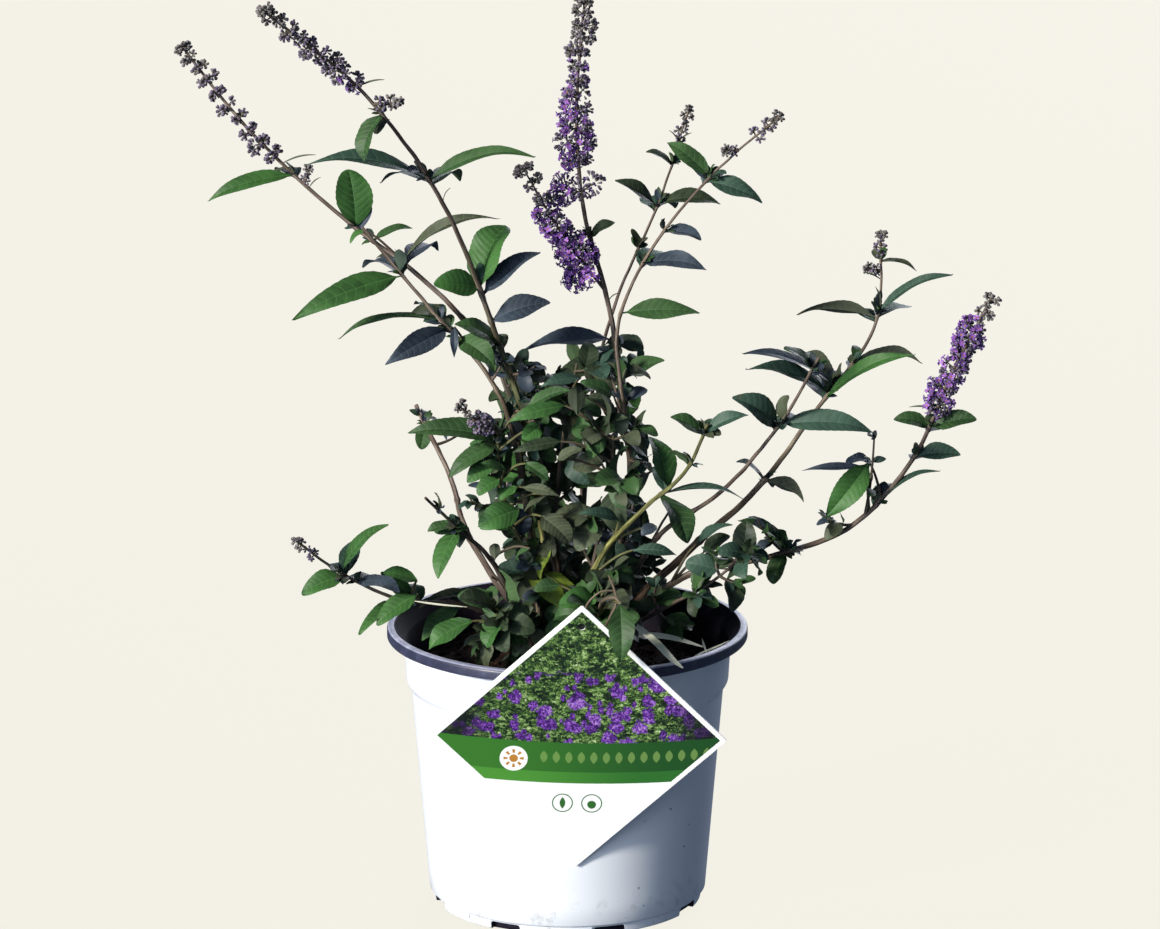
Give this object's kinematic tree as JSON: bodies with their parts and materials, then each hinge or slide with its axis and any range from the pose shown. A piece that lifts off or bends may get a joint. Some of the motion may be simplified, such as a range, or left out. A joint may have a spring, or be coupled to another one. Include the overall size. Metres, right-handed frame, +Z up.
{
  "type": "butterfly bush in a nursery pot",
  "caption": "Young butterfly bush with arching canes, narrow leaves and violet flower spikes, in a round tapered nursery pot with a square plant tag hung on its rim.",
  "frame": {"origin": "centre of the pot's flat underside", "axes": "+Z up, and the tag hangs on the -Y side, which is the front"},
  "size_m": [0.423, 0.2716, 0.4906],
  "materials": {
    "pot_shell": "white outside and near-black inside, satin, with a dark band below the lip",
    "potting_soil": "matte dark peat with bark crumbs",
    "tag_card": "printed plastic card, satin",
    "clip_plastic": "matte",
    "crown_wood": "rough matte bark",
    "cane_bark": "matte grey-brown bark with fine ridges",
    "leaves": "satin dark green above, matte grey-green below",
    "blossom": "matte violet",
    "flower_buds": "matte dusky purple"
  },
  "bodies": {
    "root": {"cane_back_bud": "cane_bark", "cane_front_bud": "cane_bark", "cane_green_fork": "cane_bark", "cane_inner_left": "cane_bark", "cane_left_bloom": "cane_bark", "cane_left_cut": "cane_bark", "cane_left_dark": "cane_bark", "cane_low_left": "cane_bark", "cane_lower_left": "cane_bark", "cane_rear_left": "cane_bark", "cane_rear_middle": "cane_bark", "cane_rear_right": "cane_bark", "cane_right_bloom": "cane_bark", "cane_right_long": "cane_bark", "cane_right_thin": "cane_bark", "cane_tall_bloom": "cane_bark", "cane_upper_left": "cane_bark", "leaves_back_bud": "leaves", "leaves_back_low": "leaves", "leaves_back_right_low": "leaves", "leaves_centre_left": "leaves", "leaves_centre_right": "leaves", "leaves_centre_tall": "leaves", "leaves_front_bud": "leaves", "leaves_front_left_low": "leaves", "leaves_front_low": "leaves", "leaves_green_fork": "leaves", "leaves_inner_left": "leaves", "leaves_left_bloom": "leaves", "leaves_left_cut": "leaves", "leaves_left_dark": "leaves", "leaves_low_left": "leaves", "leaves_low_right": "leaves", "leaves_lower_left": "leaves", "leaves_rear_left": "leaves", "leaves_rear_middle": "leaves", "leaves_rear_right": "leaves", "leaves_right_bloom": "leaves", "leaves_right_long": "leaves", "leaves_right_thin": "leaves", "leaves_tall_bloom": "leaves", "leaves_upper_left": "leaves", "plant_tag": "tag_card", "pot": "pot_shell", "potting_soil": "potting_soil", "root_crown": "crown_wood", "tag_clip": "clip_plastic"}
  },
  "joints": []
}
